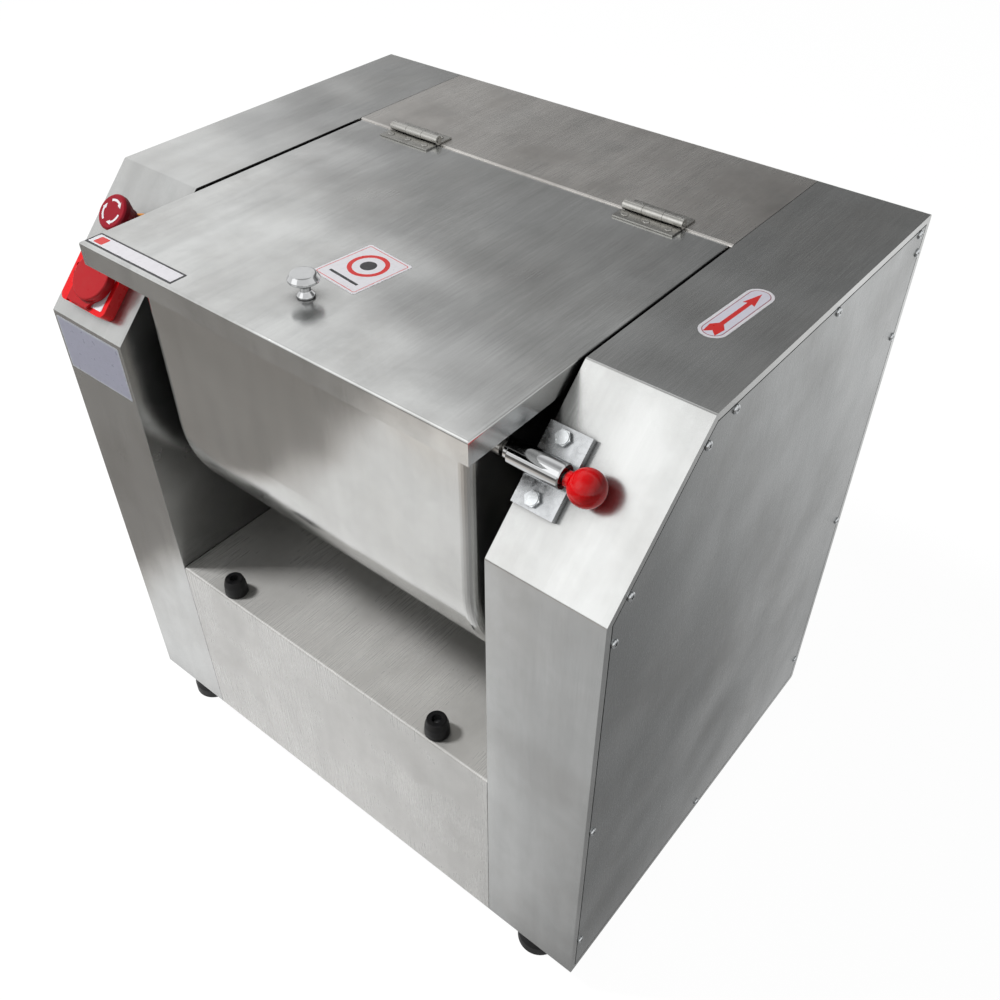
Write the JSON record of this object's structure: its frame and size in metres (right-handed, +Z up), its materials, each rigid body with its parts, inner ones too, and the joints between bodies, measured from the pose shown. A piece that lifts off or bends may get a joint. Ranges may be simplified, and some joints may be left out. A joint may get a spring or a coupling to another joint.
{
  "type": "dough mixer",
  "caption": "Free-standing dough mixer with a tilting trough under a hinged lid, between two sheet metal housings with a locking pin, stop button and rotary switch.",
  "frame": {"origin": "on the floor, at the middle of the machine's overall width and depth", "axes": "+X from the control side to the drive side along the trough, +Y from front to back, +Z up"},
  "size_m": [0.7444, 0.5924, 0.7905],
  "materials": {
    "frame_paint": "satin",
    "housing_sheet": "fine brushed",
    "cover_sheet": "fine brushed",
    "panel_sheet": "fine brushed",
    "lid_sheet": "brushed front to back",
    "trough_sheet": "fine brushed",
    "machined_steel": "turned",
    "zinc_steel": "zinc plated",
    "chrome": "polished",
    "spring_steel": "drawn wire",
    "bearing_steel": "ground",
    "cast_iron": "painted casting",
    "gear_steel": "hobbed",
    "belt_rubber": "fabric wrapped",
    "black_rubber": "matt",
    "seal_rubber": "matt",
    "motor_paint": "satin",
    "black_plastic": "moulded",
    "red_switch": "moulded",
    "red_knob": "moulded",
    "crimson_button": "moulded",
    "orange_collar": "moulded",
    "red_ball": "polished"
  },
  "bodies": {
    "machine": {"base_frame": "frame_paint", "left_bearing_plate": "frame_paint", "right_bearing_plate": "frame_paint", "rear_tie_bar": "frame_paint", "left_housing": "housing_sheet", "right_housing": "housing_sheet", "left_side_cover": "cover_sheet", "right_side_cover": "cover_sheet", "cover_screws": "zinc_steel", "front_panel": "panel_sheet", "rear_deck": "panel_sheet", "rear_panel": "panel_sheet", "cable_gland": "black_plastic", "feet": "black_rubber", "foot_studs": "zinc_steel", "sill_bumpers": "black_rubber", "bumper_screws": "zinc_steel", "hinge_fixed_leaves": "machined_steel", "hinge_pins": "machined_steel", "hinge_deck_screws": "zinc_steel", "bearing_housings": "cast_iron", "bearing_housing_bolts": "zinc_steel", "shaft_bearings": "bearing_steel", "shaft_seals": "seal_rubber", "countershaft_bearings": "bearing_steel", "outboard_bracket": "cast_iron", "v_belts": "belt_rubber", "motor_body": "motor_paint", "motor_fan_cowl": "motor_paint", "motor_terminal_box": "motor_paint", "motor_plate": "frame_paint", "motor_bolts": "zinc_steel", "lock_bracket": "zinc_steel", "lock_bolts": "zinc_steel", "lock_barrel": "chrome", "lock_spring": "spring_steel", "estop_base": "orange_collar", "switch_box": "red_switch"},
    "lid": {"lid": "lid_sheet", "lid_knob": "chrome", "hinge_moving_leaves": "machined_steel", "hinge_lid_screws": "zinc_steel"},
    "tub": {"tub": "trough_sheet", "tub_hubs": "machined_steel", "tub_lock_boss": "machined_steel"},
    "agitator": {"agitator_shaft": "machined_steel", "agitator_bars": "machined_steel", "main_gear": "gear_steel", "gear_key": "machined_steel", "gear_retainer": "zinc_steel"},
    "countershaft": {"countershaft": "machined_steel", "pinion": "gear_steel", "large_pulley": "cast_iron"},
    "motor_rotor": {"motor_shaft": "machined_steel", "motor_pulley": "cast_iron"},
    "lock_pin": {"lock_pin": "machined_steel", "lock_ball": "red_ball"},
    "estop_plunger": {"estop_stem": "black_plastic"},
    "estop_button": {"estop_head": "crimson_button"},
    "switch_dial": {"switch_knob": "red_knob"}
  },
  "joints": [
    {"name": "lid_hinge", "type": "hinge", "parent": "machine", "child": "lid", "pos_m": [0, 0.08925, 0.7723], "axis": [-1, 0, 0], "range_deg": [0, 180]},
    {"name": "tub_tilt", "type": "hinge", "parent": "machine", "child": "tub", "pos_m": [0, -0.09675, 0.54692], "axis": [1, 0, 0], "range_deg": [0, 97]},
    {"name": "agitator_spin", "type": "hinge", "parent": "machine", "child": "agitator", "pos_m": [0, -0.09675, 0.54692], "axis": [1, 0, 0], "continuous": true},
    {"name": "countershaft_spin", "type": "hinge", "parent": "machine", "child": "countershaft", "pos_m": [0, 0.03273, 0.42188], "axis": [1, 0, 0], "continuous": true},
    {"name": "motor_spin", "type": "hinge", "parent": "machine", "child": "motor_rotor", "pos_m": [0, 0.11625, 0.1715], "axis": [1, 0, 0], "continuous": true},
    {"name": "lock_pull", "type": "slide", "parent": "machine", "child": "lock_pin", "axis": [1, 0, 0], "range_m": [0, 0.014], "stiffness_N_per_m": 600, "springref_m": -0.02, "deforming": ["lock_spring"]},
    {"name": "estop_press", "type": "slide", "parent": "machine", "child": "estop_plunger", "axis": [0, 0.6989, -0.7152], "range_m": [0, 0.004]},
    {"name": "estop_twist", "type": "hinge", "parent": "estop_plunger", "child": "estop_button", "pos_m": [-0.298, -0.19542, 0.72432], "axis": [0, -0.6989, 0.7152], "range_deg": [-35, 0], "stiffness_Nm_per_rad": 0.05},
    {"name": "switch_turn", "type": "hinge", "parent": "machine", "child": "switch_dial", "pos_m": [-0.307, -0.24513, 0.67574], "axis": [0, -0.6989, 0.7152], "range_deg": [0, 60]}
  ],
  "couplings": [
    {"joint": "countershaft_spin", "follows": "agitator_spin", "ratio": -4},
    {"joint": "motor_spin", "follows": "agitator_spin", "ratio": -11.758}
  ]
}
